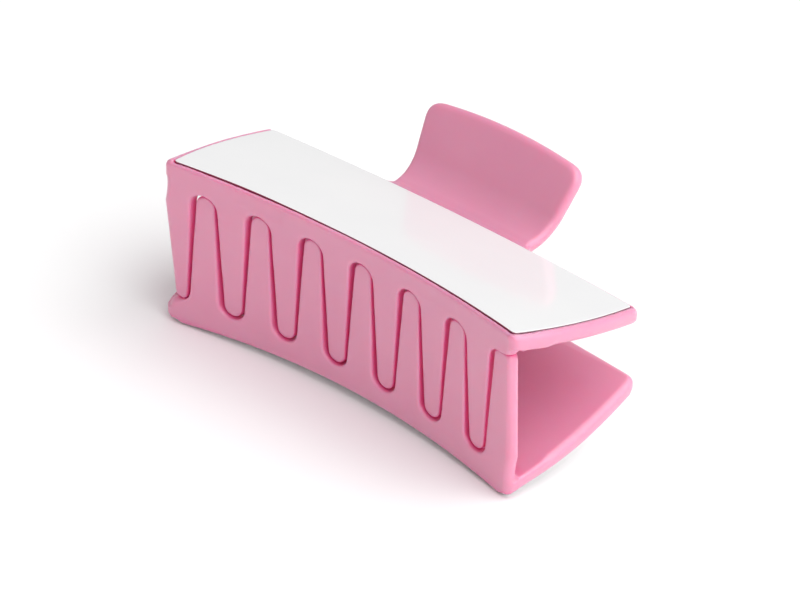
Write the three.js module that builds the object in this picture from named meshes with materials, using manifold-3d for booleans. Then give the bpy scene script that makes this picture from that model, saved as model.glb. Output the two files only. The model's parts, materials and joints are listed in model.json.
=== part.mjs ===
// A hair claw clip with straight sides: two moulded jaws on a sprung hinge, each with a blank metal
// plate stuck in a shallow recess.
//
// The clip's own frame, used until the last section, has X along the hinge, Y from the teeth to the
// handles and Z across the jaws, with z = 0 halfway between them. The lower jaw, its plate and its film
// are made as upper ones and turned half a turn about Y. Only the combs of the two jaws differ: both
// are set a little to the left. Lengths are in millimetres and angles in degrees.
import * as THREE from 'three';
import { mergeVertices } from 'three/addons/utils/BufferGeometryUtils.js';
import Module from 'manifold-3d';

const wasm = await Module();
wasm.setup();

// Plates and the films under them
const plateFrontLength = 80.7;
const plateFlare = 5.3;
const plateDepth = 29.8;
const plateFrontHollow = 4.76;
const plateRearBow = 2.3;
const plateEndBow = 1.22;
const plateCornerRadius = 0.9;
const plateThickness = 0.6;
const filmThickness = 0.2;
const filmInset = 1.0;
const plateClearance = 0.25;
const seatGap = 0.3;

// Jaw panel, the flat side of each jaw
const frontHeight = 17.6;
const rearHeight = 9.448;
const panelThickness = 3.4;
const rimWidth = 1.2;
const edgeRadius = 0.7;
const frontCornerRadius = 1.2;
const rearCornerRadius = 2.0;

// Toothed front wall
const wallThickness = 2.2;
const wallLean = 1.4;
const teethPerJaw = 7;
const toothGap = 0.83;
const toothTaper = 0.11;
const toothClearance = 0.3;
const toothTipRound = 2.0;
const tipClearance = 0.35;
const valleyRound = 2.7;
const combSet = -0.95;
const endSet = -0.3;
const endToothBulge = 0.45;
const endToothTaper = 1.1;
const lobeInset = 0.5;
const lobeRound = 1.6;

// Handle, the thumb tab behind each panel
const handleBaseWidth = 30.6;
const handleTipWidth = 37.0;
const handleThickness = 2.8;
const handleBendRadius = 7.2;
const handleAngle = 57.5;
const handleStraight = 10.6;
const handleTipBow = 1.5;
const handleCornerRadius = 3.4;
const handleSetBack = 0.4;

// Hinge, pin and torsion spring
const hingeSetBack = 0.2;
const pinRadius = 1.0;
const pinHeadOverhang = 0.7;
const pinHeadThickness = 0.7;
const pinHeadRounding = 0.5;
const pinTipChamfer = 0.25;
const pinClearance = 0.1;
const pinPlay = 0.4;
const lugWall = 2.1;
const lugRootReach = 4.0;
const lugThickness = 2.5;
const lugGap = 0.5;
const wireRadius = 0.6;
const coilClearance = 0.9;
const coilGap = 0.15;
const coilTurns = 6;
const coilSideGap = 0.75;
const springLegLength = 12.0;

// Worked out from the sizes above
const plateRearLength = plateFrontLength + plateFlare;
const slopeTangent = (frontHeight - rearHeight) / plateDepth;
const slopeTurn = Math.atan(slopeTangent);
const slopeStretch = 1 / Math.cos(slopeTurn);
const panelHeight = panelThickness * slopeStretch;
const plateHeight = plateThickness * slopeStretch;
const filmHeight = filmThickness * slopeStretch;
const recessHeight = plateHeight + filmHeight + 2 * seatGap;
const bodyFrontHalf = plateFrontLength / 2 + rimWidth;
const toothSpacing = bodyFrontHalf / teethPerJaw;
const toothHalfWidth = (toothSpacing - toothGap) / 2;
const leanTangent = Math.tan(THREE.MathUtils.degToRad(wallLean));
const handleTurn = THREE.MathUtils.degToRad(handleAngle);
const hingeDepth = plateDepth + hingeSetBack;
const boreRadius = pinRadius + pinClearance;
const lugRadius = boreRadius + lugWall;
const pinHeadRadius = pinRadius + pinHeadOverhang;
const coilRadius = pinRadius + coilClearance + wireRadius;
const farAway = plateRearLength;

// How finely round shapes are cut into flats
const pinSegments = 48;
const arcSegments = 16;
const combSegments = 12;
const sideSegments = 20;
const cornerSegments = 6;
const wallSegments = 40;
const edgeSegments = 3;
const wireSegments = 8;
const coilSegments = 24;

const plastic = new THREE.MeshStandardMaterial({ color: 0xeb9cbf, roughness: 0.35, metalness: 0 });
const plateWhite = new THREE.MeshStandardMaterial({ color: 0xf5f5f5, roughness: 0.15, metalness: 0 });
const adhesive = new THREE.MeshStandardMaterial({ color: 0xe6e2d6, roughness: 0.8, metalness: 0 });
const steel = new THREE.MeshStandardMaterial({ color: 0xb9bcc0, roughness: 0.3, metalness: 1 });

// Height of a panel's outer face above z = 0
function panelFace(y) {
  return frontHeight - slopeTangent * y;
}

// How far a tooth reaches past the middle: its tip stays clear of the other jaw's panel where the wall,
// which leans in and follows the hollow front edge, is furthest in
const wallInside = plateFrontHollow - rimWidth + wallThickness + leanTangent * frontHeight;
const toothReach = (panelFace(wallInside) - panelHeight - toothClearance) / (1 + slopeTangent * leanTangent);

// Booleans
function toSolid(geometry) {
  const bare = geometry.index ? geometry.toNonIndexed() : geometry.clone();
  bare.deleteAttribute('normal');
  bare.deleteAttribute('uv');
  const merged = mergeVertices(bare, 1e-5);
  const vertProperties = new Float32Array(merged.attributes.position.array);
  const triVerts = new Uint32Array(merged.index.array);
  return new wasm.Manifold(new wasm.Mesh({ numProp: 3, vertProperties, triVerts }));
}

function toGeometry(solid) {
  const mesh = solid.getMesh();
  const geometry = new THREE.BufferGeometry();
  geometry.setAttribute('position', new THREE.BufferAttribute(mesh.vertProperties, 3));
  geometry.setIndex(new THREE.BufferAttribute(mesh.triVerts, 1));
  geometry.computeVertexNormals();
  return geometry;
}

// Moves each vertex by what shift gives for it
function warp(geometry, shift) {
  const position = geometry.attributes.position;
  const point = new THREE.Vector3();
  for (let i = 0; i < position.count; i += 1) {
    point.fromBufferAttribute(position, i);
    shift(point);
    position.setXYZ(i, point.x, point.y, point.z);
  }
  return geometry;
}

// A four-sided outline whose sides bow out by bows and whose corners are rounded by radii. Side i runs
// from corner i to the next one.
function bowedOutline(corners, bows, radii) {
  const sides = corners.map((corner, i) => {
    const next = corners[(i + 1) % corners.length];
    const along = next.clone().sub(corner);
    const outward = new THREE.Vector2(along.y, -along.x).normalize();
    const control = corner.clone().add(next).multiplyScalar(0.5).addScaledVector(outward, 2 * bows[i]);
    return new THREE.QuadraticBezierCurve(corner, control, next);
  });
  const points = [];
  sides.forEach((side, i) => {
    const after = (i + 1) % sides.length;
    const start = radii[i] / side.getLength();
    const end = 1 - radii[after] / side.getLength();
    for (let k = 0; k <= sideSegments; k += 1) {
      points.push(side.getPoint(start + ((end - start) * k) / sideSegments));
    }
    const next = sides[after];
    const turnEnd = next.getPoint(radii[after] / next.getLength());
    const turn = new THREE.QuadraticBezierCurve(points.at(-1), next.v0, turnEnd);
    points.push(...turn.getPoints(cornerSegments).slice(1, -1));
  });
  return new THREE.Shape(points);
}

// The plate's outline seen along Z, grown by offset
function plateOutline(offset, frontRadius, rearRadius) {
  const frontHalf = plateFrontLength / 2 + offset;
  const rearHalf = plateRearLength / 2 + offset;
  const rear = plateDepth + offset;
  const corners = [
    new THREE.Vector2(-frontHalf, -offset),
    new THREE.Vector2(frontHalf, -offset),
    new THREE.Vector2(rearHalf, rear),
    new THREE.Vector2(-rearHalf, rear),
  ];
  const bows = [-plateFrontHollow, plateEndBow, plateRearBow, plateEndBow];
  return bowedOutline(corners, bows, [frontRadius, frontRadius, rearRadius, rearRadius]);
}

function panelOutline() {
  return plateOutline(rimWidth, frontCornerRadius, rearCornerRadius);
}

// A slab that follows the panel's slope, from low to high above its outer face
function slopedSlab(shape, low, high, round = 0) {
  const geometry = new THREE.ExtrudeGeometry(shape, {
    depth: high - low - 2 * round,
    bevelEnabled: round > 0,
    bevelSize: round,
    bevelThickness: round,
    bevelOffset: -round,
    bevelSegments: edgeSegments,
  });
  geometry.translate(0, 0, low + round);
  return warp(geometry, (point) => {
    point.z += panelFace(point.y);
  });
}

// A profile drawn in Y and Z, extruded along X from start by length
function extrudeAlongX(shape, start, length) {
  const geometry = new THREE.ExtrudeGeometry(shape, {
    depth: length,
    bevelEnabled: false,
    curveSegments: arcSegments,
  });
  geometry.applyMatrix4(
    new THREE.Matrix4().makeBasis(
      new THREE.Vector3(0, 1, 0),
      new THREE.Vector3(0, 0, 1),
      new THREE.Vector3(1, 0, 0),
    ),
  );
  return geometry.translate(start, 0, 0);
}

// The comb of one jaw seen from the front, in X and Z: a base with round valleys for the other jaw's
// teeth, and its own teeth reaching past the middle. The left tooth closes that end of the clip. The
// way is 1 for the upper jaw and -1 for the lower one, whose comb is set the other way before it turns.
function combOutline(way) {
  const valleyTop = toothReach + tipClearance;
  const valleyStart = valleyTop - valleyRound;
  const tipStart = -(toothReach - toothTipRound);
  const halfWidth = (z) => toothHalfWidth + (toothTaper / 2) * z;
  const toothCentre = (i) => (2 * i + 0.5) * toothSpacing - bodyFrontHalf + way * combSet;
  const leftEnd = -bodyFrontHalf + way * endSet;
  const rightEnd = bodyFrontHalf + way * endSet;
  const shape = new THREE.Shape();
  shape.moveTo(leftEnd, frontHeight + panelHeight);
  shape.lineTo(leftEnd, valleyTop + lobeRound);
  shape.quadraticCurveTo(
    leftEnd + endToothBulge / 2,
    valleyTop,
    leftEnd - endToothBulge,
    valleyStart - toothTipRound / 2,
  );
  for (let i = 0; i < teethPerJaw; i += 1) {
    const centre = toothCentre(i);
    const left = i === 0 ? leftEnd + endToothTaper : centre - halfWidth(tipStart);
    const right = centre + halfWidth(tipStart);
    shape.lineTo(left, tipStart);
    shape.absellipse((left + right) / 2, tipStart, (right - left) / 2, toothTipRound, Math.PI, 0, false);
    shape.lineTo(centre + halfWidth(valleyStart), valleyStart);
    const valleyCentre = centre + toothSpacing;
    const valleyHalf = toothSpacing - halfWidth(valleyStart);
    const endAngle = i === teethPerJaw - 1 ? Math.PI / 2 : 0;
    shape.absellipse(valleyCentre, valleyStart, valleyHalf, valleyRound, Math.PI, endAngle, true);
  }
  const lobeEnd = rightEnd - lobeInset;
  shape.lineTo(lobeEnd - lobeRound, valleyTop);
  shape.absarc(lobeEnd - lobeRound, valleyTop + lobeRound, lobeRound, -Math.PI / 2, 0, false);
  shape.lineTo(rightEnd, frontHeight);
  shape.lineTo(rightEnd, frontHeight + panelHeight);
  return shape;
}

// The front wall: a band that follows the panel's front edge, leans in towards the tooth tips and has
// the comb's outline
function toothedWall(way) {
  const edge = [];
  for (let k = 0; k <= wallSegments; k += 1) {
    const share = ((2 * k) / wallSegments - 1) * (1 + wallThickness / bodyFrontHalf);
    const inward = plateFrontHollow * (1 - share * share) - rimWidth;
    edge.push(new THREE.Vector2(share * bodyFrontHalf, inward));
  }
  const inside = edge.map((point) => new THREE.Vector2(point.x, point.y + wallThickness));
  const band = new THREE.ExtrudeGeometry(new THREE.Shape([...edge, ...inside.reverse()]), {
    depth: 2 * farAway,
    bevelEnabled: false,
  });
  band.translate(0, 0, -farAway);
  warp(band, (point) => {
    point.y += leanTangent * (frontHeight - point.z);
  });
  const comb = new THREE.ExtrudeGeometry(combOutline(way), {
    depth: 2 * farAway,
    bevelEnabled: false,
    curveSegments: combSegments,
  });
  comb.rotateX(Math.PI / 2);
  comb.translate(0, farAway, 0);
  const wide = new THREE.Shape();
  wide.moveTo(-farAway, -farAway);
  wide.lineTo(farAway, -farAway);
  wide.lineTo(farAway, farAway);
  wide.lineTo(-farAway, farAway);
  const underPanel = slopedSlab(wide, -2 * farAway, -edgeRadius);
  return toSolid(band).intersect(toSolid(comb)).intersect(toSolid(underPanel));
}

// The handle's bend: its centre in Y and Z. The thumb face starts level with the panel.
const handleStart = plateDepth + plateRearBow + handleSetBack;
const bendCentre = new THREE.Vector2(
  handleStart + handleBendRadius * Math.sin(slopeTurn),
  panelFace(handleStart) + handleBendRadius * Math.cos(slopeTurn),
);

function handle() {
  const outerRadius = handleBendRadius + handleThickness;
  const startAngle = -Math.PI / 2 - slopeTurn;
  const endAngle = -Math.PI / 2 + handleTurn;
  const along = new THREE.Vector2(Math.cos(handleTurn), Math.sin(handleTurn));
  const bendEnd = new THREE.Vector2(Math.cos(endAngle), Math.sin(endAngle));
  const overrun = handleStraight + handleThickness;
  const thumbTip = bendCentre.clone().addScaledVector(bendEnd, handleBendRadius);
  const fingerTip = bendCentre.clone().addScaledVector(bendEnd, outerRadius);
  const tipDistance = thumbTip.dot(along) + handleStraight;
  thumbTip.addScaledVector(along, overrun);
  fingerTip.addScaledVector(along, overrun);
  const profile = new THREE.Shape();
  profile.moveTo(handleStart - panelThickness, panelFace(handleStart) + panelThickness * slopeTangent);
  profile.absarc(bendCentre.x, bendCentre.y, handleBendRadius, startAngle, endAngle, false);
  profile.lineTo(thumbTip.x, thumbTip.y);
  profile.lineTo(fingerTip.x, fingerTip.y);
  profile.absarc(bendCentre.x, bendCentre.y, outerRadius, endAngle, startAngle, true);
  profile.lineTo(handleStart - panelThickness, panelFace(handleStart) - handleThickness * slopeStretch);
  const sheet = toSolid(extrudeAlongX(profile, -farAway / 2, farAway));
  const baseHalf = handleBaseWidth / 2;
  const tipHalf = handleTipWidth / 2;
  const tipCorner = tipDistance - handleTipBow;
  const baseDistance = handleStart * along.x;
  const corners = [
    new THREE.Vector2(-baseHalf, baseDistance),
    new THREE.Vector2(baseHalf, baseDistance),
    new THREE.Vector2(tipHalf, tipCorner),
    new THREE.Vector2(-tipHalf, tipCorner),
  ];
  const outline = bowedOutline(corners, [0, 0, handleTipBow, 0], Array(4).fill(handleCornerRadius));
  const cutter = new THREE.ExtrudeGeometry(outline, { depth: 2 * farAway, bevelEnabled: false });
  cutter.translate(0, 0, -farAway);
  cutter.rotateX(handleTurn);
  return sheet.intersect(toSolid(cutter));
}

// Each jaw has an outer lug on the left and an inner lug on the right, so that turned over it meets
// its twin
const innerLugStart = (coilTurns * (2 * wireRadius + coilGap)) / 2 + coilSideGap;
const outerLugStart = innerLugStart + lugThickness + lugGap;
const lugEnd = outerLugStart + lugThickness;

function hingeLug(start) {
  const frontRoot = hingeDepth - lugRootReach;
  const rearRoot = hingeDepth + lugRootReach;
  const shape = new THREE.Shape();
  shape.moveTo(frontRoot, panelFace(frontRoot) - recessHeight - seatGap);
  shape.lineTo(hingeDepth - lugRadius, 0);
  shape.absarc(hingeDepth, 0, lugRadius, Math.PI, 2 * Math.PI, false);
  shape.lineTo(rearRoot, bendCentre.y - handleBendRadius - handleThickness / 2);
  return toSolid(extrudeAlongX(shape, start, lugThickness));
}

function jaw(way) {
  const recessShape = plateOutline(plateClearance, plateCornerRadius, plateCornerRadius);
  const bore = new THREE.CylinderGeometry(boreRadius, boreRadius, 4 * lugEnd, pinSegments);
  bore.rotateZ(Math.PI / 2);
  bore.translate(0, hingeDepth, 0);
  return toGeometry(
    toSolid(slopedSlab(panelOutline(), -panelHeight, 0, edgeRadius))
      .add(toothedWall(way))
      .add(handle())
      .add(hingeLug(-lugEnd))
      .add(hingeLug(innerLugStart))
      .subtract(toSolid(slopedSlab(recessShape, -recessHeight, panelHeight)))
      .subtract(toSolid(bore)),
  );
}

function plate() {
  return slopedSlab(plateOutline(0, plateCornerRadius, plateCornerRadius), -plateHeight, 0);
}

function film() {
  const top = -plateHeight - seatGap;
  const shape = plateOutline(-filmInset, plateCornerRadius, plateCornerRadius);
  return slopedSlab(shape, top - filmHeight, top);
}

// A headed pin through the lugs, its head on the left
function pin() {
  const length = 2 * (lugEnd + pinPlay);
  const geometry = new THREE.LatheGeometry(
    [
      new THREE.Vector2(0, -pinHeadThickness),
      new THREE.Vector2(pinHeadRadius - pinHeadRounding, -pinHeadThickness),
      new THREE.Vector2(pinHeadRadius, -pinHeadThickness / 2),
      new THREE.Vector2(pinHeadRadius, 0),
      new THREE.Vector2(pinRadius, 0),
      new THREE.Vector2(pinRadius, length - pinTipChamfer),
      new THREE.Vector2(pinRadius - pinTipChamfer, length),
      new THREE.Vector2(0, length),
    ],
    pinSegments,
  );
  geometry.rotateZ(-Math.PI / 2);
  return geometry.translate(-length / 2, hingeDepth, 0);
}

// The spring's coil goes round the pin between the inner lugs. Each leg leaves the coil on the side of
// its own jaw and runs out to just under that jaw's handle.
function spring() {
  const toBend = bendCentre.clone().sub(new THREE.Vector2(hingeDepth, 0));
  const reach = coilRadius + handleBendRadius + handleThickness + wireRadius + seatGap;
  const legAngle = toBend.angle() - Math.asin(reach / toBend.length());
  const coilHalf = (coilTurns * (2 * wireRadius + coilGap)) / 2 - wireRadius;
  const startAngle = -(legAngle + Math.PI / 2);
  const sweep = 2 * Math.PI * coilTurns - 2 * legAngle - Math.PI;
  const onCoil = (share) => {
    const angle = startAngle - share * sweep;
    return new THREE.Vector3(
      coilHalf * (2 * share - 1),
      hingeDepth + coilRadius * Math.cos(angle),
      coilRadius * Math.sin(angle),
    );
  };
  const leg = new THREE.Vector3(0, Math.cos(legAngle), Math.sin(legAngle)).multiplyScalar(springLegLength);
  const coilSteps = arcSegments * coilTurns;
  const points = [];
  for (let k = 0; k <= coilSteps; k += 1) {
    points.push(onCoil(k / coilSteps));
  }
  const legSteps = 4;
  for (let k = 1; k <= legSteps; k += 1) {
    const share = k / legSteps;
    points.unshift(onCoil(0).add(new THREE.Vector3(0, leg.y * share, -leg.z * share)));
    points.push(onCoil(1).addScaledVector(leg, share));
  }
  const section = new THREE.Shape();
  section.absarc(0, 0, wireRadius, 0, 2 * Math.PI, false);
  return new THREE.ExtrudeGeometry(section, {
    steps: coilSegments * coilTurns,
    curveSegments: wireSegments,
    extrudePath: new THREE.CatmullRomCurve3(points),
  });
}

// The assembly, in the clip's own frame
const clip = new THREE.Group();
const upperJaw = jaw(1);
const lowerJaw = jaw(-1);
const plateGeometry = plate();
const filmGeometry = film();

function addPiece(name, geometry, material, turned) {
  const mesh = new THREE.Mesh(geometry, material);
  mesh.name = name;
  mesh.rotation.y = turned ? Math.PI : 0;
  clip.add(mesh);
}

addPiece('upper_jaw', upperJaw, plastic.clone(), false);
addPiece('upper_plate', plateGeometry, plateWhite.clone(), false);
addPiece('upper_adhesive_film', filmGeometry, adhesive.clone(), false);
addPiece('lower_jaw', lowerJaw, plastic.clone(), true);
addPiece('lower_plate', plateGeometry, plateWhite.clone(), true);
addPiece('lower_adhesive_film', filmGeometry, adhesive.clone(), true);
addPiece('hinge_pin', pin(), steel.clone(), false);
addPiece('torsion_spring', spring(), steel.clone(), false);

// Lying at rest: the clip tips about X until the lower jaw's front corners and its handle both touch
// the table, and the group moves until the origin is under the middle of the whole clip.
function restTilt(geometry) {
  const position = geometry.attributes.position;
  const middle = new THREE.Vector2();
  const point = new THREE.Vector2();
  let tilt = 0;
  for (let pass = 0; pass < 4; pass += 1) {
    const front = new THREE.Vector2(0, Infinity);
    const rear = new THREE.Vector2(0, Infinity);
    for (let i = 0; i < position.count; i += 1) {
      point.set(position.getY(i), -position.getZ(i)).rotateAround(middle, tilt);
      const side = position.getY(i) < hingeDepth ? front : rear;
      if (point.y < side.y) {
        side.copy(point);
      }
    }
    tilt -= Math.atan2(rear.y - front.y, rear.x - front.x);
  }
  return tilt;
}

clip.rotation.x = restTilt(lowerJaw);
const group = new THREE.Group();
group.add(clip);
group.updateMatrixWorld(true);
const box = new THREE.Box3().setFromObject(group, true);
clip.position.set(-(box.min.x + box.max.x) / 2, -(box.min.y + box.max.y) / 2, -box.min.z);

export default group;
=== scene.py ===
import json
import math

import bpy
import numpy as np
from mathutils import Matrix, Vector


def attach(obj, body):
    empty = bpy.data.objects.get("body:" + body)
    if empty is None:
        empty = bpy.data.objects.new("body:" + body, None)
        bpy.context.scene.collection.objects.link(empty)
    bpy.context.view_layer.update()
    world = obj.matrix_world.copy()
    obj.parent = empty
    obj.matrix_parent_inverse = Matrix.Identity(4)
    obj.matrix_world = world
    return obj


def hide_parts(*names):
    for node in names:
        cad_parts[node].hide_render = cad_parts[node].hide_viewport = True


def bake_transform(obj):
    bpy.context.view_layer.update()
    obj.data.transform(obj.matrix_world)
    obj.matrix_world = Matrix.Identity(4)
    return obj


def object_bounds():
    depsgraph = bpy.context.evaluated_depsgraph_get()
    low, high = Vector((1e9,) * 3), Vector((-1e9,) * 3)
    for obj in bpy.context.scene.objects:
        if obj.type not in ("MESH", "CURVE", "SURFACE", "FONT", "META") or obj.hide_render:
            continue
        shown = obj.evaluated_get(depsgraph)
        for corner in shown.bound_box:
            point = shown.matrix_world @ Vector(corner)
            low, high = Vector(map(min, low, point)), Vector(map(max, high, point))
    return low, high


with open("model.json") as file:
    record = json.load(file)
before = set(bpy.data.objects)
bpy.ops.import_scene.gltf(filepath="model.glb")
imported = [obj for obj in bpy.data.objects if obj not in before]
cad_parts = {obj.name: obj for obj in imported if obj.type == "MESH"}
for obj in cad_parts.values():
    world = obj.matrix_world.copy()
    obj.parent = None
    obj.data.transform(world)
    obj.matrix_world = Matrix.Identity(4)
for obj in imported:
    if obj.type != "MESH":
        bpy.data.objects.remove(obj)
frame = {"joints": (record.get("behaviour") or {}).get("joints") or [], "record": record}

CAD_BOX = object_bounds()
MM = 0.001

# Plates and films
PLATE_FRONT_LENGTH = 80.7
PLATE_FLARE = 5.3
PLATE_DEPTH = 29.8
PLATE_FRONT_HOLLOW = 4.76
PLATE_REAR_BOW = 2.3
PLATE_END_BOW = 1.22
PLATE_CORNER_RADIUS = 0.9
PLATE_THICKNESS = 0.6
FILM_THICKNESS = 0.2
FILM_INSET = 1.0
PLATE_CLEARANCE = 0.25
SEAT_GAP = 0.3

# Jaw panel
FRONT_HEIGHT = 17.6
REAR_HEIGHT = 9.448
PANEL_THICKNESS = 3.4
RIM_WIDTH = 1.2
REAR_CORNER_RADIUS = 2.0

# Toothed front wall. In both jaws the teeth are set over along X by COMB_SET, and the wall's ends by
# END_SET.
WALL_THICKNESS = 2.2
WALL_LEAN = 1.4
TEETH_PER_JAW = 7
TOOTH_GAP = 0.83
TOOTH_TAPER = 0.11
TOOTH_CLEARANCE = 0.3
TOOTH_TIP_ROUND = 2.0
TIP_CLEARANCE = 0.35
VALLEY_ROUND = 2.7
COMB_SET = -0.95
END_SET = -0.3
END_TOOTH_BULGE = 0.45
END_TOOTH_TAPER = 1.1
END_TOOTH_OVERREACH = 0.15
END_TIP_ROUND = 1.3
TOOTH_DRAFT = 0.06
TOOTH_SLIMMING = 0.04
LOBE_INSET = 0.5
LOBE_ROUND = 1.6

# Handle
HANDLE_BASE_WIDTH = 30.6
HANDLE_TIP_WIDTH = 37.0
HANDLE_THICKNESS = 2.8
HANDLE_BEND_RADIUS = 7.2
HANDLE_ANGLE = 57.5
HANDLE_STRAIGHT = 10.6
HANDLE_TIP_BOW = 1.5
HANDLE_CORNER_RADIUS = 3.4
HANDLE_SET_BACK = 0.4

# Hinge, pin and torsion spring
HINGE_SET_BACK = 0.2
PIN_RADIUS = 1.0
PIN_HEAD_OVERHANG = 0.7
PIN_HEAD_THICKNESS = 0.7
PIN_CLEARANCE = 0.1
PIN_PLAY = 0.4
LUG_WALL = 2.1
LUG_ROOT_REACH = 4.0
LUG_THICKNESS = 2.5
LUG_GAP = 0.5
WIRE_RADIUS = 0.6
COIL_CLEARANCE = 0.9
COIL_GAP = 0.15
COIL_TURNS = 6
COIL_SIDE_GAP = 0.75
SPRING_LEG_LENGTH = 12.0

# How far each moulded edge is rounded and each root filled
TOOTH_FRONT_ROUND = 0.32
TOOTH_BACK_ROUND = 0.5
WALL_END_ROUND = 1.6
PANEL_EDGE_ROUND = 1.3
TOP_EDGE_ROUND = 1.1
UPPER_CORNER_ROUND = 1.5
LOWER_CORNER_ROUND = 2.2
ROOT_FILLET = 1.0
HANDLE_FILLET = 1.2
LUG_FILLET = 0.8
LUG_EDGE_ROUND = 0.3
RECESS_EDGE_ROUND = 0.32

# The rear rim is a little lower than the plate. The plate sits tight at its ends, and its front edge
# stands back from the rim, most of all left of the middle.
REAR_RIM_DROP = 0.3
END_TIGHTENING = 0.15
FRONT_SET_BACK = 0.14
SET_BACK = 0.4
SET_BACK_MIDDLE = -24.0
SET_BACK_HALF = 17.0
SET_BACK_DEPTH = 10.0

# Worked out from the sizes above
PLATE_REAR_LENGTH = PLATE_FRONT_LENGTH + PLATE_FLARE
SLOPE = math.atan((FRONT_HEIGHT - REAR_HEIGHT) / PLATE_DEPTH)
HANDLE_TURN = math.radians(HANDLE_ANGLE)
SLOPE_STRETCH = 1 / math.cos(SLOPE)
PANEL_HEIGHT = PANEL_THICKNESS * SLOPE_STRETCH
PLATE_HEIGHT = PLATE_THICKNESS * SLOPE_STRETCH
FILM_HEIGHT = FILM_THICKNESS * SLOPE_STRETCH
RECESS_HEIGHT = PLATE_HEIGHT + FILM_HEIGHT + 2 * SEAT_GAP
BODY_FRONT_HALF = PLATE_FRONT_LENGTH / 2 + RIM_WIDTH
TOOTH_SPACING = BODY_FRONT_HALF / TEETH_PER_JAW
TOOTH_HALF_WIDTH = (TOOTH_SPACING - TOOTH_GAP) / 2
LEAN_TANGENT = math.tan(math.radians(WALL_LEAN))
HANDLE_START = PLATE_DEPTH + PLATE_REAR_BOW + HANDLE_SET_BACK
HINGE_DEPTH = PLATE_DEPTH + HINGE_SET_BACK
LUG_RADIUS = PIN_RADIUS + PIN_CLEARANCE + LUG_WALL
PIN_HEAD_RADIUS = PIN_RADIUS + PIN_HEAD_OVERHANG
COIL_RADIUS = PIN_RADIUS + COIL_CLEARANCE + WIRE_RADIUS
COIL_HALF = COIL_TURNS * (2 * WIRE_RADIUS + COIL_GAP) / 2
INNER_LUG_START = COIL_HALF + COIL_SIDE_GAP
LUG_END = INNER_LUG_START + 2 * LUG_THICKNESS + LUG_GAP

# The space that an upper jaw takes, the cells it is cut into, and a distance past all of it
JAW_LOW = np.array([-46.5, -3.0, -13.5])
JAW_HIGH = np.array([46.5, 50.0, 22.5])
FIELD_CELL = 0.36
TABLE_CELL = 0.12
FAR = 90.0

# How finely outlines are cut into points
SIDE_STEPS = 33
CORNER_STEPS = 9
BEND_STEPS = 28
LUG_STEPS = 24


def panel_face(y):
    """Height of a panel's outer face above z = 0."""
    return FRONT_HEIGHT - math.tan(SLOPE) * y


# A tooth's tip stays clear of the other jaw's panel where the wall is furthest in
WALL_INSIDE = PLATE_FRONT_HOLLOW - RIM_WIDTH + WALL_THICKNESS + LEAN_TANGENT * FRONT_HEIGHT
TOOTH_REACH = panel_face(WALL_INSIDE) - PANEL_HEIGHT - TOOTH_CLEARANCE
TOOTH_REACH /= 1 + math.tan(SLOPE) * LEAN_TANGENT
BEND_CENTRE = Vector((
    HANDLE_START + HANDLE_BEND_RADIUS * math.sin(SLOPE),
    panel_face(HANDLE_START) + HANDLE_BEND_RADIUS * math.cos(SLOPE),
))


# Placing

def placing():
    """From the clip's own frame to the CAD's: the hinge and the upper plate's slope say where it is."""
    hinge = frame["joints"][0]["pos_m"]
    _, across, up = frame["record"]["mounts"][0]["axis"]
    tilt = SLOPE - math.atan2(across, up)
    to_hinge = Matrix.Translation((0, -HINGE_DEPTH, 0))
    return Matrix.Translation(hinge) @ Matrix.Rotation(tilt, 4, "X") @ Matrix.Scale(MM, 4) @ to_hinge


PLACE = placing()
TURN_OVER = Matrix.Rotation(math.pi, 4, "Y")


def make_piece(name, points, faces, materials, turned=False, material_of_face=None):
    """A smooth mesh object from points in the clip's own frame."""
    mesh = bpy.data.meshes.new(name)
    mesh.from_pydata([tuple(p) for p in points], [], [tuple(int(i) for i in f) for f in faces])
    for material in materials:
        mesh.materials.append(material)
    if material_of_face is not None:
        mesh.polygons.foreach_set("material_index", material_of_face)
    mesh.shade_smooth()
    mesh.transform(PLACE @ TURN_OVER if turned else PLACE)
    piece = bpy.data.objects.new(name, mesh)
    bpy.context.scene.collection.objects.link(piece)
    return piece


# Outlines: closed lists of points in a plane

def arc(centre, radii, start, end, steps=14):
    """Points on an elliptic arc, from angle start to angle end."""
    angles = np.linspace(start, end, steps)
    return [(centre[0] + radii[0] * math.cos(a), centre[1] + radii[1] * math.sin(a)) for a in angles]


def curve(first, control, last, start=0.0, end=1.0, steps=20):
    """Points on a quadratic curve, from share start to share end."""
    points = []
    for t in np.linspace(start, end, steps):
        weights = ((1 - t) ** 2, 2 * t * (1 - t), t * t)
        points.append(tuple(
            sum(w * p[i] for w, p in zip(weights, (first, control, last))) for i in (0, 1)
        ))
    return points


def bowed_outline(corners, bows, radii):
    """A four-sided outline whose sides bow out by bows and whose corners are rounded by radii."""
    corners = [Vector(c) for c in corners]
    sides = []
    for i, corner in enumerate(corners):
        following = corners[(i + 1) % 4]
        along = following - corner
        outward = Vector((along.y, -along.x)).normalized()
        control = (corner + following) / 2 + outward * 2 * bows[i]
        sides.append((corner, control, following, along.length))
    points = []
    for i, (corner, control, following, length) in enumerate(sides):
        after = sides[(i + 1) % 4]
        radius = radii[(i + 1) % 4]
        points += curve(corner, control, following, radii[i] / length, 1 - radius / length, SIDE_STEPS)
        turn_end = curve(*after[:3], radius / after[3], 1.0, 2)[0]
        points += curve(points[-1], following, turn_end, steps=CORNER_STEPS)[1:-1]
    return points


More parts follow.
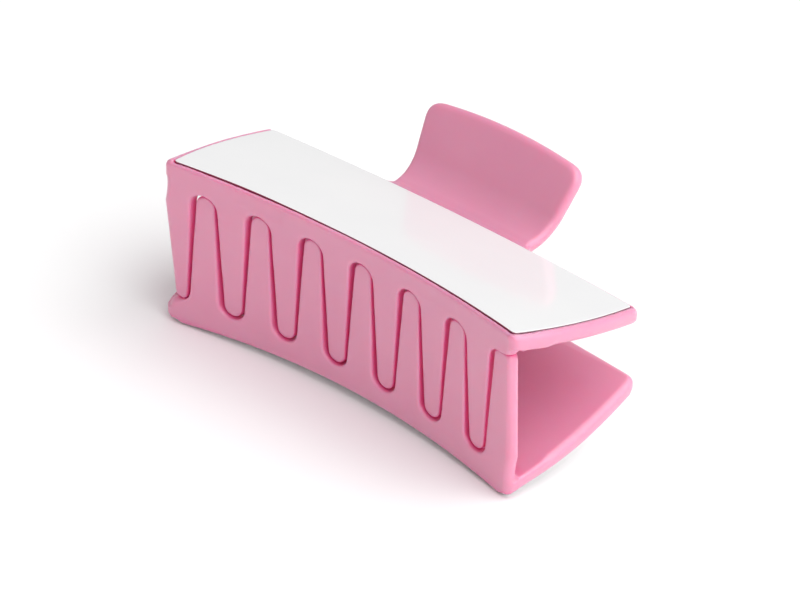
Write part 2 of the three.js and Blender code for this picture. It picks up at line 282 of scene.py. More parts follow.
def plate_outline(offset, radius, rear_radius=None):
    """The plate's outline seen along Z, grown by offset."""
    front = PLATE_FRONT_LENGTH / 2 + offset
    rear = PLATE_REAR_LENGTH / 2 + offset
    depth = PLATE_DEPTH + offset
    corners = [(-front, -offset), (front, -offset), (rear, depth), (-rear, depth)]
    bows = [-PLATE_FRONT_HOLLOW, PLATE_END_BOW, PLATE_REAR_BOW, PLATE_END_BOW]
    rear_radius = radius if rear_radius is None else rear_radius
    return bowed_outline(corners, bows, [radius, radius, rear_radius, rear_radius])


def comb_outline(way):
    """One jaw's comb seen from the front, in X and Z. Its left tooth closes that end of the clip."""
    valley_top = TOOTH_REACH + TIP_CLEARANCE
    valley_start = valley_top - VALLEY_ROUND
    tip_start = TOOTH_TIP_ROUND - TOOTH_REACH
    top = FRONT_HEIGHT + PANEL_HEIGHT
    left_end = way * END_SET - BODY_FRONT_HALF
    right_end = way * END_SET + BODY_FRONT_HALF

    def half_width(z):
        return TOOTH_HALF_WIDTH + TOOTH_TAPER / 2 * z

    points = [(left_end, top)]
    points += curve(
        (left_end, valley_top + LOBE_ROUND),
        (left_end + END_TOOTH_BULGE / 2, valley_top),
        (left_end - END_TOOTH_BULGE, valley_start - TOOTH_TIP_ROUND / 2),
    )
    for i in range(TEETH_PER_JAW):
        centre = (2 * i + 0.5) * TOOTH_SPACING - BODY_FRONT_HALF + way * COMB_SET
        left = left_end + END_TOOTH_TAPER if i == 0 else centre - half_width(tip_start)
        right = centre + half_width(tip_start)
        if i == 0:
            low = (END_TIP_ROUND, END_TIP_ROUND)
            bottom = END_TIP_ROUND - TOOTH_REACH - END_TOOTH_OVERREACH
            points += arc((left + END_TIP_ROUND, bottom), low, math.pi, 1.5 * math.pi)
            points += arc((right - END_TIP_ROUND, bottom), low, 1.5 * math.pi, 2 * math.pi)
        else:
            tip_radii = ((right - left) / 2, TOOTH_TIP_ROUND)
            points += arc(((left + right) / 2, tip_start), tip_radii, math.pi, 2 * math.pi)
        valley_radii = (TOOTH_SPACING - half_width(valley_start), VALLEY_ROUND)
        end = math.pi / 2 if i == TEETH_PER_JAW - 1 else 0
        points += arc((centre + TOOTH_SPACING, valley_start), valley_radii, math.pi, end)
    lobe_x = right_end - LOBE_INSET - LOBE_ROUND
    points += arc((lobe_x, valley_top + LOBE_ROUND), (LOBE_ROUND, LOBE_ROUND), -math.pi / 2, 0)
    return points + [(right_end, FRONT_HEIGHT), (right_end, top)]


def sheet_side(radius, depth):
    """One face of the panel and handle seen from the side, in Y and Z, and on past both ends."""
    start_angle = -math.pi / 2 - SLOPE
    end_angle = -math.pi / 2 + HANDLE_TURN
    bend = arc(BEND_CENTRE, (radius, radius), start_angle, end_angle, BEND_STEPS)
    tip = (bend[-1][0] + FAR * math.cos(HANDLE_TURN), bend[-1][1] + FAR * math.sin(HANDLE_TURN))
    return [(-FAR, panel_face(-FAR) - depth), (HINGE_DEPTH, panel_face(HINGE_DEPTH) - depth), *bend, tip]


def handle_outline():
    """The handle seen square on: across, and along its straight part."""
    along = (math.cos(HANDLE_TURN), math.sin(HANDLE_TURN))
    end_angle = HANDLE_TURN - math.pi / 2
    bend_end = BEND_CENTRE + HANDLE_BEND_RADIUS * Vector((math.cos(end_angle), math.sin(end_angle)))
    tip = bend_end.dot(Vector(along)) + HANDLE_STRAIGHT - HANDLE_TIP_BOW
    base = HANDLE_START * along[0]
    corners = [
        (-HANDLE_BASE_WIDTH / 2, base),
        (HANDLE_BASE_WIDTH / 2, base),
        (HANDLE_TIP_WIDTH / 2, tip),
        (-HANDLE_TIP_WIDTH / 2, tip),
    ]
    return bowed_outline(corners, [0, 0, HANDLE_TIP_BOW, 0], [HANDLE_CORNER_RADIUS] * 4)


def lug_outline():
    """A hinge lug seen from the side, its root inside the panel and the handle."""
    front_root = HINGE_DEPTH - LUG_ROOT_REACH
    rear_root = HINGE_DEPTH + LUG_ROOT_REACH
    rear_top = BEND_CENTRE.y - HANDLE_BEND_RADIUS - HANDLE_THICKNESS / 2
    return [
        (front_root, panel_face(front_root) - RECESS_HEIGHT - SEAT_GAP),
        *arc((HINGE_DEPTH, 0), (LUG_RADIUS, LUG_RADIUS), math.pi, 2 * math.pi, LUG_STEPS),
        (rear_root, rear_top),
    ]


# Distance fields: negative inside, and rounded where two of them meet

def outline_distance(points, u, v):
    """Signed distance from (u, v) to a closed outline."""
    nearest = np.full(np.broadcast(u, v).shape, FAR * FAR)
    inside = np.zeros(nearest.shape, bool)
    for (au, av), (bu, bv) in zip(points, points[1:] + points[:1]):
        du, dv = bu - au, bv - av
        if du == 0 and dv == 0:
            continue
        share = np.clip(((u - au) * du + (v - av) * dv) / (du * du + dv * dv), 0, 1)
        nearest = np.minimum(nearest, (u - au - share * du) ** 2 + (v - av - share * dv) ** 2)
        if dv != 0:
            inside ^= ((av <= v) != (bv <= v)) & (u < au + (v - av) * du / dv)
    return np.where(inside, -1, 1) * np.sqrt(nearest)


def outline_field(points, low, high):
    """A function of (u, v) that looks its distance to an outline up in a table made once."""
    across = np.arange(low[0], high[0] + TABLE_CELL, TABLE_CELL)
    along = np.arange(low[1], high[1] + TABLE_CELL, TABLE_CELL)
    table = outline_distance(points, across[:, None], along[None, :])
    last_across = len(across) - 1.001
    last_along = len(along) - 1.001

    def look_up(u, v):
        i = np.clip((u - low[0]) / TABLE_CELL, 0, last_across)
        j = np.clip((v - low[1]) / TABLE_CELL, 0, last_along)
        i, j = np.broadcast_arrays(i, j)
        i0, j0 = i.astype(int), j.astype(int)
        fi, fj = i - i0, j - j0
        near = table[i0, j0] * (1 - fj) + table[i0, j0 + 1] * fj
        far = table[i0 + 1, j0] * (1 - fj) + table[i0 + 1, j0 + 1] * fj
        return near * (1 - fi) + far * fi

    return look_up


def both(a, b, radius):
    """What is inside both fields, with its edge rounded."""
    outside = np.hypot(np.maximum(a + radius, 0), np.maximum(b + radius, 0))
    return np.minimum(np.maximum(a, b), -radius) + outside


def either(a, b, radius):
    """What is inside either field, with its inner corner filled."""
    outside = np.hypot(np.maximum(radius - a, 0), np.maximum(radius - b, 0))
    return np.maximum(np.minimum(a, b), radius) - outside


def ease(share):
    """0 below 0 and 1 above 1, with a smooth step between."""
    share = np.clip(share, 0, 1)
    return share * share * (3 - 2 * share)


def jaw_field(way):
    """The moulded jaw as one distance field. The way is 1 for the upper jaw and -1 for the lower one."""
    x_range, y_range, z_range = zip(JAW_LOW, JAW_HIGH)
    low_xz, high_xz = zip(x_range, z_range)
    low_xy, high_xy = zip(x_range, y_range)
    low_yz, high_yz = zip(y_range, z_range)
    comb = outline_field(comb_outline(way), low_xz, high_xz)
    panel = outline_field(plate_outline(RIM_WIDTH, RIM_WIDTH, REAR_CORNER_RADIUS), low_xy, high_xy)
    recess = outline_field(plate_outline(PLATE_CLEARANCE, PLATE_CORNER_RADIUS), low_xy, high_xy)
    thumb_side = sheet_side(HANDLE_BEND_RADIUS, 0)
    finger_side = sheet_side(HANDLE_BEND_RADIUS + HANDLE_THICKNESS, PANEL_HEIGHT)
    below_top = outline_field([*thumb_side, (FAR, -FAR), (-FAR, -FAR)], low_yz, high_yz)
    above_underside = outline_field([*finger_side, (-FAR, FAR)], low_yz, high_yz)
    lug_side = outline_field(lug_outline(), low_yz, high_yz)
    handle = outline_field(handle_outline(), (JAW_LOW[0], 0), (JAW_HIGH[0], FAR / 2))

    # Where the jaw changes from one edge or limit to another, and over how many millimetres
    front_box_depth = 2.0
    handle_root_overlap = 6.0
    end_width = 3.5
    end_ease = 2.5
    front_depth = 6.0
    front_ease = 3.0
    end_blend_depth = 10.0
    corner_reach = 18.0
    drop_start = 0.4
    drop_ease = 0.5
    drop_end = 1.0
    drop_end_ease = 2.0
    tight_start = 1.0

    # How much faster than the distance to a sheet the other limits fall away outside it
    release = 3.0
    corner_round = UPPER_CORNER_ROUND if way > 0 else LOWER_CORNER_ROUND
    end_flare = (PLATE_FLARE / 4 + 2 * PLATE_END_BOW) / (PLATE_DEPTH / 2 + RIM_WIDTH)
    root_end = HANDLE_START * math.cos(HANDLE_TURN) + handle_root_overlap

    def field(x, y, z):
        # The wall follows the plate's hollow front edge and leans
        share = x / BODY_FRONT_HALF
        front = PLATE_FRONT_HOLLOW * (1 - share * share) - RIM_WIDTH + LEAN_TANGENT * (FRONT_HEIGHT - z)
        steepness = np.hypot(1, 2 * PLATE_FRONT_HOLLOW * share / BODY_FRONT_HALF)
        outer = (front - y) / steepness
        inner = (y - front - WALL_THICKNESS) / steepness

        # Where the sheet ends: the panel with its front corners, the handle and the teeth
        along = y * math.cos(HANDLE_TURN) + z * math.sin(HANDLE_TURN)
        root = np.maximum(abs(x) - HANDLE_BASE_WIDTH / 2, along - root_end)
        handle_plan = np.minimum(handle(x, along), root)
        set_over = x - way * END_SET * (1 - ease(y / end_blend_depth))
        front_half = BODY_FRONT_HALF + end_flare * (y + RIM_WIDTH)
        front_box = np.maximum(abs(set_over) - front_half, y - front_box_depth)
        panel_plan = np.minimum(panel(set_over, y), front_box)
        plan = either(panel_plan, handle_plan, HANDLE_FILLET)
        below = (panel_face(y) - PANEL_HEIGHT - z) / SLOPE_STRETCH
        depth = np.clip(-outer, 0, WALL_THICKNESS)
        teeth = comb(x, z) + TOOTH_SLIMMING - TOOTH_DRAFT * depth
        limits = np.maximum(
            plan - release * np.maximum(below, 0),
            teeth - release * (np.maximum(inner, 0) + np.maximum(-below, 0)),
        )

        # How round each edge is, and the rim's drop behind the plate
        to_end = ease((abs(x) - (BODY_FRONT_HALF - end_width)) / end_ease)
        to_front = 1 - ease((y - front_depth) / front_ease)
        back_round = PANEL_EDGE_ROUND + (TOOTH_BACK_ROUND - PANEL_EDGE_ROUND) * to_front
        front_round = TOOTH_FRONT_ROUND + (WALL_END_ROUND - TOOTH_FRONT_ROUND) * to_end
        to_corner = to_end * (1 - ease(y / corner_reach))
        top_round = TOP_EDGE_ROUND + (corner_round - TOP_EDGE_ROUND) * to_corner
        rear_edge = PLATE_DEPTH + PLATE_REAR_BOW * (1 - (2 * x / PLATE_REAR_LENGTH) ** 2)
        past_plate = ease((y - rear_edge + drop_start) / drop_ease)
        past_plate *= 1 - ease((y - rear_edge - drop_end) / drop_end_ease)

        # The sheet, then the lugs, the recess and the bore
        body = either(above_underside(y, z), inner, ROOT_FILLET)
        body = both(body, limits, back_round)
        body = both(body, outer, front_round)
        body = both(body, below_top(y, z + REAR_RIM_DROP * past_plate), top_round)
        for start in (-LUG_END, INNER_LUG_START):
            across = abs(x - start - LUG_THICKNESS / 2) - LUG_THICKNESS / 2
            lug = both(lug_side(y, z), across, LUG_EDGE_ROUND)
            body = either(body, lug, LUG_FILLET)
        floor = (panel_face(y) - RECESS_HEIGHT - z) / SLOPE_STRETCH
        tight = END_TIGHTENING * ease(abs(x) - PLATE_FRONT_LENGTH / 2 + tight_start)
        body = both(body, -np.maximum(recess(x, y) + tight, floor), RECESS_EDGE_ROUND)
        bore = PIN_RADIUS + PIN_CLEARANCE - np.hypot(y - HINGE_DEPTH, z)
        return both(body, bore, RECESS_EDGE_ROUND)

    return field


def surface_net(field, low, high, cell):
    """Points and four-sided faces on a field's zero level, one point in each cell that it crosses."""
    xs, ys, zs = (np.arange(a, b + cell, cell) for a, b in zip(low, high))
    values = field(xs[:, None, None], ys[None, :, None], zs[None, None, :])
    inside = values < 0
    corners = [(i, j, k) for i in (0, 1) for j in (0, 1) for k in (0, 1)]
    size = [n - 1 for n in values.shape]
    count = np.zeros(size, np.int8)
    for i, j, k in corners:
        count += inside[i:i + size[0], j:j + size[1], k:k + size[2]]
    crossed = (count > 0) & (count < len(corners))
    cells = np.argwhere(crossed)
    at_corner = [values[tuple((cells + corner).T)] for corner in corners]
    total = np.zeros(cells.shape)
    hits = np.zeros(len(cells))
    # The next corner along X, Y or Z comes this many places later in the list
    steps_to_next = (4, 2, 1)
    for a, corner in enumerate(corners):
        for axis, step in enumerate(steps_to_next):
            if corner[axis]:
                continue
            b = a + step
            flips = (at_corner[a] < 0) != (at_corner[b] < 0)
            gap = np.where(flips, at_corner[a] - at_corner[b], 1)
            place = np.tile(np.array(corner, float), (len(cells), 1))
            place[:, axis] += at_corner[a] / gap
            total += place * flips[:, None]
            hits += flips
    points = np.array(low) + (cells + total / hits[:, None]) * cell

    number = np.full(size, -1)
    number[crossed] = np.arange(len(cells))
    faces = []
    for axis in range(3):
        second, third = (axis + 1) % 3, (axis + 2) % 3
        before = np.take(inside, range(values.shape[axis] - 1), axis)
        after = np.take(inside, range(1, values.shape[axis]), axis)
        edges = np.argwhere(before != after)
        ring = []
        for back in ((1, 1), (0, 1), (0, 0), (1, 0)):
            beside = edges.copy()
            beside[:, second] -= back[0]
            beside[:, third] -= back[1]
            ring.append(number[tuple(beside.T)])
        quads = np.stack(ring, 1)
        outward = before[tuple(edges.T)]
        faces.append(np.where(outward[:, None], quads, quads[:, ::-1]))
    return points, np.concatenate(faces)


def settle(points, field, farthest):
    """Moves points onto a field's zero level, each by at most farthest a time."""
    reach = 0.02
    passes = 3
    least_steepness = 0.25
    for _ in range(passes):
        value = field(*points.T)
        slopes = [
            (field(*(points + shift).T) - field(*(points - shift).T)) / (2 * reach)
            for shift in np.eye(3) * reach
        ]
        gradient = np.stack(slopes, 1)
        steepness = np.maximum((gradient ** 2).sum(1), least_steepness)
        move = np.clip(value / steepness, -farthest, farthest)
        points = points - gradient * move[:, None]
    return points


# Materials. Most of a noise lies between NOISE_LOW and NOISE_HIGH.

NOISE_LOW = 0.3
NOISE_HIGH = 0.7


def start_material(name, colour, roughness, metallic=0.0):
    """A node material with its shader's own values set, its tree and the shader."""
    material = bpy.data.materials.new(name)
    material.use_nodes = True
    tree = material.node_tree
    shader = tree.nodes["Principled BSDF"]
    shader.inputs["Base Color"].default_value = (*colour, 1)
    shader.inputs["Roughness"].default_value = roughness
    shader.inputs["Metallic"].default_value = metallic
    return material, tree, shader


def noise(tree, scale, detail=4.0, stretch=(1, 1, 1)):
    """A noise over the object's own coordinates. The scale is in features per metre."""
    place = tree.nodes.new("ShaderNodeTexCoord")
    mapping = tree.nodes.new("ShaderNodeMapping")
    texture = tree.nodes.new("ShaderNodeTexNoise")
    mapping.inputs["Scale"].default_value = stretch
    texture.inputs["Scale"].default_value = scale
    texture.inputs["Detail"].default_value = detail
    tree.links.new(place.outputs["Object"], mapping.inputs["Vector"])
    tree.links.new(mapping.outputs["Vector"], texture.inputs["Vector"])
    return texture.outputs["Fac"]


def between(tree, factor, low, high, from_low=NOISE_LOW, from_high=NOISE_HIGH):
    """A number that goes from low to high as a factor goes from from_low to from_high."""
    node = tree.nodes.new("ShaderNodeMapRange")
    node.inputs["From Min"].default_value = from_low
    node.inputs["From Max"].default_value = from_high
    node.inputs["To Min"].default_value = low
    node.inputs["To Max"].default_value = high
    tree.links.new(factor, node.inputs["Value"])
    return node.outputs["Result"]


def two_colours(tree, factor, first, second):
    """A colour that follows a noise, from first to second."""
    node = tree.nodes.new("ShaderNodeValToRGB")
    node.color_ramp.elements[0].position = NOISE_LOW
    node.color_ramp.elements[1].position = NOISE_HIGH
    node.color_ramp.elements[0].color = (*first, 1)
    node.color_ramp.elements[1].color = (*second, 1)
    tree.links.new(factor, node.inputs["Fac"])
    return node.outputs["Color"]


def painted_gap_shade(tree, colour, gap_shade_colour, width):
    """Painted shade: a colour that turns into a deeper one where ambient occlusion finds gaps about as
    wide as width, in metres, standing in for light bounced from plastic to plastic there.
    """
    openness = tree.nodes.new("ShaderNodeAmbientOcclusion")
    openness.inputs["Distance"].default_value = width
    closed = between(tree, openness.outputs["AO"], low=1.0, high=0.0, from_low=0.3, from_high=0.9)
    node = tree.nodes.new("ShaderNodeMix")
    node.data_type = "RGBA"
    # A mix node has sockets for each kind of data, and these are the ones for colours
    factor, first, second = (node.inputs[i] for i in (0, 6, 7))
    second.default_value = (*gap_shade_colour, 1)
    tree.links.new(closed, factor)
    tree.links.new(colour, first)
    return node.outputs[2]


def bump(tree, shader, height, distance):
    """Adds a height to what already shapes the shader's normal. The distance is in metres."""
    node = tree.nodes.new("ShaderNodeBump")
    node.inputs["Distance"].default_value = distance
    tree.links.new(height, node.inputs["Height"])
    normal = shader.inputs["Normal"]
    if normal.is_linked:
        tree.links.new(normal.links[0].from_socket, node.inputs["Normal"])
    tree.links.new(node.outputs["Normal"], normal)


def pink_plastic():
    """Satin moulded plastic: a little light goes in, and its surface has a faint moulded texture. In
    narrow gaps its colour is painted deeper, a painted shade that stands in for light that has gone from
    plastic to plastic there."""
    material, tree, shader = start_material("pink_plastic", (0.69, 0.26, 0.395), 0.36)
    clouds = noise(tree, 60, 3)
    colours = two_colours(tree, clouds, (0.68, 0.252, 0.387), (0.7, 0.268, 0.403))
    # Painted shade: the base colour deepens in narrow gaps, standing in for light bounced between plastic
    # faces
    tree.links.new(painted_gap_shade(tree, colours, (0.76, 0.09, 0.29), 0.003), shader.inputs["Base Color"])
    tree.links.new(between(tree, noise(tree, 260), 0.32, 0.42), shader.inputs["Roughness"])
    shader.inputs["Specular IOR Level"].default_value = 0.6
    shader.inputs["Coat Weight"].default_value = 0.6
    shader.inputs["Coat Roughness"].default_value = 0.32
    shader.inputs["Subsurface Weight"].default_value = 0.7
    shader.inputs["Subsurface Radius"].default_value = (1.0, 0.25, 0.4)
    shader.inputs["Subsurface Scale"].default_value = 0.0025
    bump(tree, shader, noise(tree, 130, 2), 0.00003)
    bump(tree, shader, noise(tree, 2600, 3), 0.000004)
    return material


def white_coating():
    """Gloss white coating with a faint orange peel."""
    material, tree, shader = start_material("white_coated_plate", (0.8, 0.8, 0.8), 0.16)
    shade = two_colours(tree, noise(tree, 50, 2), (0.79, 0.79, 0.795), (0.81, 0.81, 0.81))
    tree.links.new(shade, shader.inputs["Base Color"])
    tree.links.new(between(tree, noise(tree, 400), 0.10, 0.17), shader.inputs["Roughness"])
    shader.inputs["Coat Weight"].default_value = 0.4
    shader.inputs["Coat Roughness"].default_value = 0.06
    bump(tree, shader, noise(tree, 90, 1), 0.00003)
    bump(tree, shader, noise(tree, 900, 2), 0.0000025)
    return material


def cut_aluminium():
    """The plate's sheared edge: bare metal with fine lines across it. Its grey is darker than bare
    aluminium, partly as painted shade for the dark gap along the plate's front edge.
    """
    material, tree, shader = start_material("cut_aluminium", (0.42, 0.41, 0.42), 0.4, 1.0)
    lines = noise(tree, 2500, 2, (1, 1, 0.15))
    tree.links.new(between(tree, lines, 0.28, 0.5), shader.inputs["Roughness"])
    bump(tree, shader, lines, 0.00002)
    return material


def adhesive():
    """Double-sided film: matt, with a fibrous carrier that shows faintly."""
    material, tree, shader = start_material("adhesive_film", (0.8, 0.77, 0.7), 0.7)
    fibres = noise(tree, 900, 6, (1, 0.3, 1))
    shade = two_colours(tree, fibres, (0.76, 0.73, 0.66), (0.84, 0.82, 0.76))
    tree.links.new(shade, shader.inputs["Base Color"])
    tree.links.new(between(tree, fibres, 0.6, 0.8), shader.inputs["Roughness"])
    bump(tree, shader, fibres, 0.00002)
    return material


def plated_steel(name, stretch):
    """Nickel-plated steel with fine lines drawn along one way."""
    material, tree, shader = start_material(name, (0.6, 0.6, 0.61), 0.28, 1.0)
    lines = noise(tree, 3000, 3, stretch)
    tree.links.new(between(tree, lines, 0.2, 0.36), shader.inputs["Roughness"])
    shade = two_colours(tree, noise(tree, 300, 3), (0.56, 0.56, 0.57), (0.66, 0.66, 0.66))
    tree.links.new(shade, shader.inputs["Base Color"])
    bump(tree, shader, lines, 0.0000015)
    return material


PLASTIC = pink_plastic()
COATING = white_coating()
CUT_EDGE = cut_aluminium()
ADHESIVE = adhesive()
PIN_STEEL = plated_steel("pin_steel", (1, 0.1, 0.1))
WIRE_STEEL = plated_steel("wire_steel", (0.1, 1, 1))


# Pieces

def jaw(name, way, turned):
    """A moulded jaw from its distance field."""
    cell = FIELD_CELL
    field = jaw_field(way)
    points, faces = surface_net(field, JAW_LOW, JAW_HIGH, cell)
    points = settle(points, field, cell / 2)
    return make_piece(name, points, faces, [PLASTIC], turned)


def layered_sheet(name, layers, materials, turned, edge_layers=()):
    """A sheet that follows the panel's slope. Each layer is how far its outline is inset and how high it
    lies over the panel's face. The strips after edge_layers take the second material."""
    least_radius = 0.3
    loops = []
    for inset, height in layers:
        radius = max(PLATE_CORNER_RADIUS - inset / 2, least_radius)
        loop = []
        for x, y in plate_outline(-inset, radius):
            back = FRONT_SET_BACK + SET_BACK * ease(1 - abs(x - SET_BACK_MIDDLE) / SET_BACK_HALF)
            back *= ease(1 - y / SET_BACK_DEPTH)
            loop.append((x, y + back, panel_face(y + back) + height))
        loops.append(loop)
    count = len(loops[0])
    faces = [tuple(reversed(range(count)))]
    slots = [0]
    for layer in range(len(loops) - 1):
        for i in range(count):
            low, high = layer * count, (layer + 1) * count
            after = (i + 1) % count
            faces.append((low + i, low + after, high + after, high + i))
            slots.append(1 if layer in edge_layers else 0)
    faces.append(tuple(range((len(loops) - 1) * count, len(loops) * count)))
    slots.append(0)
    points = [p for loop in loops for p in loop]
    return make_piece(name, points, faces, materials, turned, slots)


def plate(name, turned):
    """A coated plate: bare cut edge, coating rolled over the top edge."""
    low = -PLATE_HEIGHT
    layers = [
        (1.5, low), (0.3, low), (0.08, low + 0.02), (0.0, low + 0.10),
        (0.0, -0.07), (0.03, -0.03), (0.10, -0.015), (0.25, -0.003), (0.8, 0.0), (2.0, 0.0),
    ]
    return layered_sheet(name, layers, [COATING, CUT_EDGE], turned, edge_layers=(1, 2, 3))


def film(name, turned):
    """The double-sided film under a plate."""
    top = -PLATE_HEIGHT - SEAT_GAP
    low = top - FILM_HEIGHT
    edge = 0.05
    side = FILM_INSET + edge
    face = FILM_INSET + 0.5
    layers = [
        (face, low), (side, low), (FILM_INSET, low + edge),
        (FILM_INSET, top - edge), (side, top), (face, top),
    ]
    return layered_sheet(name, layers, [ADHESIVE], turned)


def turned_part(name, profile, material, steps=96):
    """A part turned about the hinge line, from (place along X, radius) pairs, pointed at both ends."""
    angles = np.linspace(0, 2 * math.pi, steps, endpoint=False)
    points = [(profile[0][0], HINGE_DEPTH, 0)]
    for x, radius in profile[1:-1]:
        points += [(x, HINGE_DEPTH + radius * math.cos(a), radius * math.sin(a)) for a in angles]
    points.append((profile[-1][0], HINGE_DEPTH, 0))
    last = len(points) - 1
    faces = []
    for i in range(steps):
        after = (i + 1) % steps
        faces.append((0, 1 + after, 1 + i))
        for ring in range(len(profile) - 3):
            low, high = 1 + ring * steps, 1 + (ring + 1) * steps
            faces.append((low + i, low + after, high + after, high + i))
        top = 1 + (len(profile) - 3) * steps
        faces.append((top + i, top + after, last))
    return make_piece(name, points, faces, [material])


def pin():
    """The headed pin: a domed head on the left, a small chamfer on the right."""
    half = LUG_END + PIN_PLAY
    head = -half - PIN_HEAD_THICKNESS
    dome_height = PIN_HEAD_THICKNESS * 0.75
    dome_steps = 12
    edge_reach = 0.05
    edge_depth = 0.06
    neck_fillet = 0.08
    chamfer_length = 0.3
    chamfer_edge = 0.02
    tip_radius = PIN_RADIUS * 0.72
    dome = [
        (head + dome_height * (1 - math.cos(a)), PIN_HEAD_RADIUS * math.sin(a))
        for a in np.linspace(0, math.pi / 2, dome_steps)
    ]
    profile = [
        *dome,
        (-half - edge_reach, PIN_HEAD_RADIUS),
        (-half, PIN_HEAD_RADIUS - edge_depth),
        (-half, PIN_RADIUS + neck_fillet),
        (-half + neck_fillet, PIN_RADIUS),
        (0, PIN_RADIUS),
        (half - chamfer_length - edge_reach, PIN_RADIUS),
        (half - chamfer_length, PIN_RADIUS - chamfer_edge),
        (half - chamfer_edge, tip_radius + edge_depth),
        (half, tip_radius),
        (half, 0),
    ]
    return turned_part("pin_with_head", profile, PIN_STEEL)


def spring_path():
    """The middle of the spring's wire: lower leg, coil and upper leg."""
    to_bend = Vector((BEND_CENTRE.x - HINGE_DEPTH, BEND_CENTRE.y))
    reach = COIL_RADIUS + HANDLE_BEND_RADIUS + HANDLE_THICKNESS + WIRE_RADIUS + SEAT_GAP
    leg_angle = math.atan2(to_bend.y, to_bend.x) - math.asin(reach / to_bend.length)
    coil_half = COIL_HALF - WIRE_RADIUS
    start = -(leg_angle + math.pi / 2)
    sweep = 2 * math.pi * COIL_TURNS - 2 * leg_angle - math.pi

    def on_coil(share):
        angle = start - share * sweep
        y = HINGE_DEPTH + COIL_RADIUS * math.cos(angle)
        return Vector((coil_half * (2 * share - 1), y, COIL_RADIUS * math.sin(angle)))

    turn_steps = 56
    leg_steps = 16
    leg = Vector((0, math.cos(leg_angle), math.sin(leg_angle))) * SPRING_LEG_LENGTH
    coil = [on_coil(share) for share in np.linspace(0, 1, turn_steps * COIL_TURNS)]
    steps = [step / leg_steps for step in range(1, leg_steps + 1)]
    lower = [coil[0] + Vector((0, leg.y, -leg.z)) * share for share in reversed(steps)]
    return lower + coil + [coil[-1] + leg * share for share in steps]


def wire(name, path, radius, material, sides=20):
    """A round wire along a path, its two cut ends slightly rounded."""
    tangents = [(b - a).normalized() for a, b in zip(path[:1] + path[:-1], path[1:] + path[-1:])]
    side = tangents[0].orthogonal().normalized()
    rings = []
    for place, tangent in zip(path, tangents):
        side = (side - tangent * side.dot(tangent)).normalized()
        rings.append((place, side.copy(), tangent.cross(side), radius))
    end_round = radius * 0.2
    end_reach = radius * 0.16
    first = (path[0] - tangents[0] * end_reach, rings[0][1], rings[0][2], radius - end_round)
    last = (path[-1] + tangents[-1] * end_reach, rings[-1][1], rings[-1][2], radius - end_round)
    rings = [first, *rings, last]
    points = []
    for place, across, up, size in rings:
        for a in np.linspace(0, 2 * math.pi, sides, endpoint=False):
            points.append(place + (across * math.cos(a) + up * math.sin(a)) * size)
    faces = [tuple(reversed(range(sides)))]
    for ring in range(len(rings) - 1):
        for i in range(sides):
            low, high = ring * sides, (ring + 1) * sides
            after = (i + 1) % sides
            faces.append((low + i, low + after, high + after, high + i))
    faces.append(tuple(range((len(rings) - 1) * sides, len(rings) * sides)))
    return make_piece(name, points, faces, [material])


def build_clip():
    """Every piece in place of its CAD node, each on its body but the spring wire, which is left
    unattached.
    """
    halves = (("upper", 1, False), ("lower", -1, True))
    for half, way, turned in halves:
        body = f"{half}_clip_half"
        moulding = jaw(f"{half}_jaw_moulding", way, turned)
        coated = plate(f"{half}_coated_plate", turned)
        tape = film(f"{half}_double_sided_film", turned)
        for piece, node, slot in (
            (moulding, "jaw", "pink_plastic"),
            (coated, "plate", "white_coated_plate"),
            (tape, "adhesive_film", "adhesive_film"),
        ):
            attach(piece, body)
            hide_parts(f"{half}_{node}")
    headed_pin = pin()
    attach(headed_pin, "lower_clip_half")
    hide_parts("hinge_pin")
    coil = wire("spring_wire", spring_path(), WIRE_RADIUS, WIRE_STEEL)
    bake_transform(coil)
    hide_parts("torsion_spring")


# Floor, light and camera

CAMERA_AZIMUTH = 40.4835
CAMERA_ELEVATION = 34.3679
CAMERA_ROLL = 1.34595
CAMERA_DISTANCE = 751.8
CAMERA_RIGHT = 11.213
CAMERA_UP = 4.658
CAMERA_LENS = 189.1
FLOOR_GAP = 0.05


def looking_from(azimuth, elevation, roll=0.0):
    """Right, up and back directions of a viewer at that azimuth and elevation, in degrees."""
    a, e, r = (math.radians(v) for v in (azimuth, elevation, roll))
    back = Vector((math.sin(a) * math.cos(e), -math.cos(a) * math.cos(e), math.sin(e)))
    right = Vector((0, 0, 1)).cross(back).normalized()
    up = back.cross(right)
    return right * math.cos(r) + up * math.sin(r), up * math.cos(r) - right * math.sin(r), back


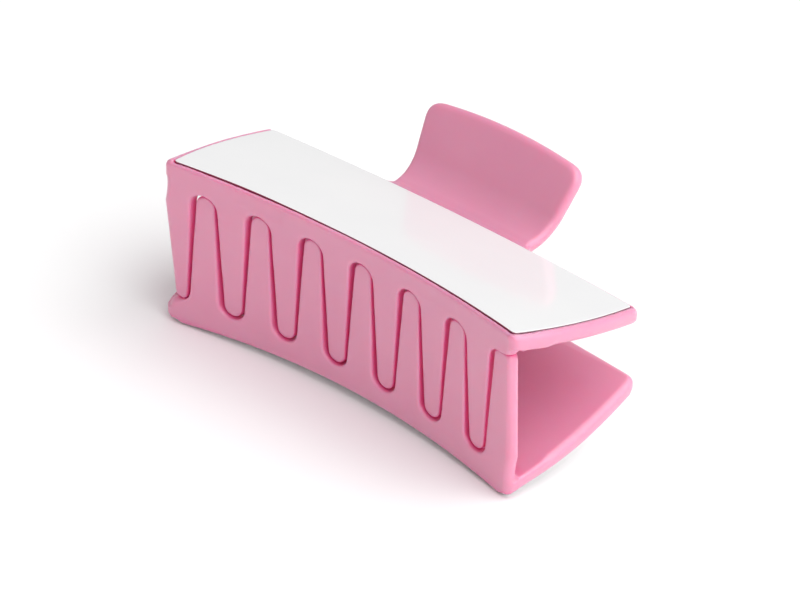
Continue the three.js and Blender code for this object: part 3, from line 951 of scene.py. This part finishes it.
def add_camera():
    """The camera at the photograph's angle, placed in the clip's own frame."""
    right, up, back = looking_from(CAMERA_AZIMUTH, CAMERA_ELEVATION, CAMERA_ROLL)
    place = back * CAMERA_DISTANCE + right * CAMERA_RIGHT + up * CAMERA_UP
    data = bpy.data.cameras.new("camera")
    data.lens = CAMERA_LENS
    data.clip_start = 0.01
    data.clip_end = 20
    camera = bpy.data.objects.new("camera", data)
    bpy.context.scene.collection.objects.link(camera)
    turn = Matrix((right, up, back)).transposed().to_4x4()
    full = PLACE.to_3x3().normalized().to_4x4() @ turn
    camera.matrix_world = Matrix.Translation(PLACE @ place) @ full
    bpy.context.scene.camera = camera


def add_light(name, azimuth, elevation, distance, size, watts):
    """A soft white square light aimed at the middle of the clip, with its distance and size in metres."""
    right, up, back = looking_from(azimuth, elevation)
    data = bpy.data.lights.new(name, "AREA")
    data.size = size
    data.energy = watts
    light = bpy.data.objects.new(name, data)
    bpy.context.scene.collection.objects.link(light)
    middle = (CAD_BOX[0] + CAD_BOX[1]) / 2
    turn = Matrix((right, up, back)).transposed().to_4x4()
    light.matrix_world = Matrix.Translation(middle + back * distance) @ turn


def add_floor():
    """A wide pale floor with a faint unevenness, just under the clip."""
    mesh = bpy.data.meshes.new("floor")
    half = 4.0
    corners = [(-half, -half, 0), (half, -half, 0), (half, half, 0), (-half, half, 0)]
    mesh.from_pydata(corners, [], [(0, 1, 2, 3)])
    material, tree, shader = start_material("pale_floor", (0.95, 0.95, 0.95), 0.9)
    shade = two_colours(tree, noise(tree, 6, 2), (0.945, 0.945, 0.945), (0.955, 0.955, 0.955))
    tree.links.new(shade, shader.inputs["Base Color"])
    shader.inputs["Specular IOR Level"].default_value = 0.0
    mesh.materials.append(material)
    floor = bpy.data.objects.new("floor", mesh)
    floor.location.z = CAD_BOX[0].z - FLOOR_GAP * MM
    bpy.context.scene.collection.objects.link(floor)


def add_world():
    """Even white light from all round."""
    world = bpy.data.worlds.new("studio")
    world.use_nodes = True
    background = world.node_tree.nodes["Background"]
    background.inputs["Color"].default_value = (1, 1, 1, 1)
    background.inputs["Strength"].default_value = 0.52
    bpy.context.scene.world = world


bpy.context.scene.view_settings.view_transform = "Standard"
add_camera()
build_clip()
add_floor()
add_world()
add_light("key", azimuth=92, elevation=42, distance=1.2, size=1.9, watts=23)
add_light("back", azimuth=165, elevation=55, distance=1.2, size=1.0, watts=2.5)
